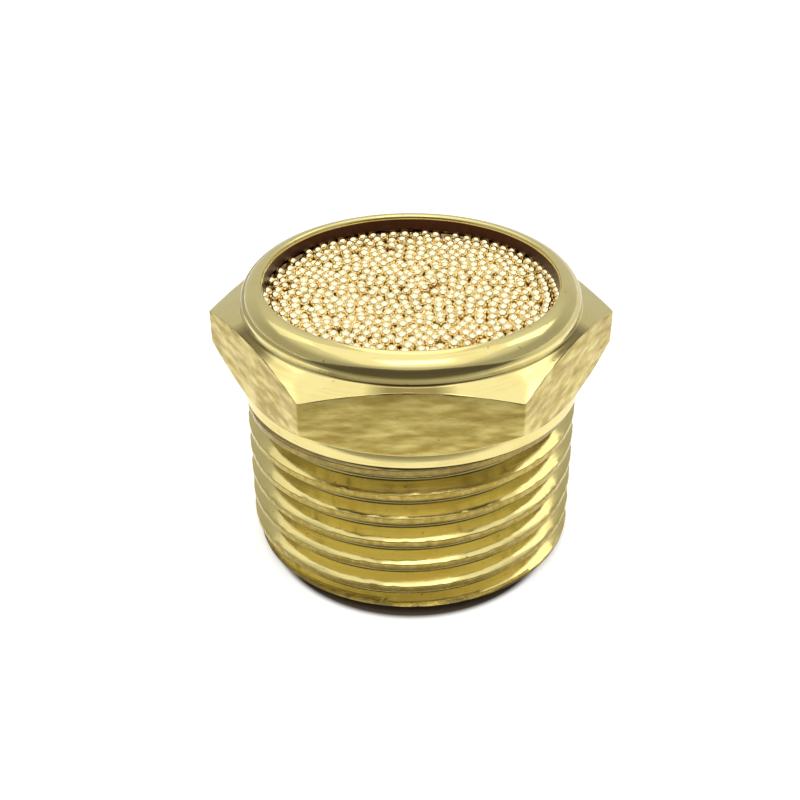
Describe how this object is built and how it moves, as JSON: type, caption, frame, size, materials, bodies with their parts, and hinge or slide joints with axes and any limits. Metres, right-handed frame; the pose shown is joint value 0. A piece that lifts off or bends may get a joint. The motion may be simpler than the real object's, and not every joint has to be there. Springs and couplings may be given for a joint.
{
  "type": "pneumatic muffler",
  "caption": "Flat exhaust silencer: a hexagonal threaded body whose open top holds a disc of sintered beads under a rolled lip; air enters the bore and leaves through the disc.",
  "frame": {"origin": "centre of the threaded end's flat face, the lowest point of the part", "axes": "+Z along the axis, out through the sintered disc; flats of the hexagon face -Y and +Y and two of its corners lie on X"},
  "size_m": [0.0196, 0.017, 0.0141],
  "materials": {
    "turned_brass": "bright turned brass on the lip, cones, thread and bore; duller drawn-bar skin on the hexagon flats",
    "sintered_bronze": "shiny copper-gold beads of about 0.6 mm, fused where they touch, with open pores between them"
  },
  "bodies": {
    "root": {"body": "turned_brass", "sintered_disc": "sintered_bronze"}
  },
  "joints": []
}
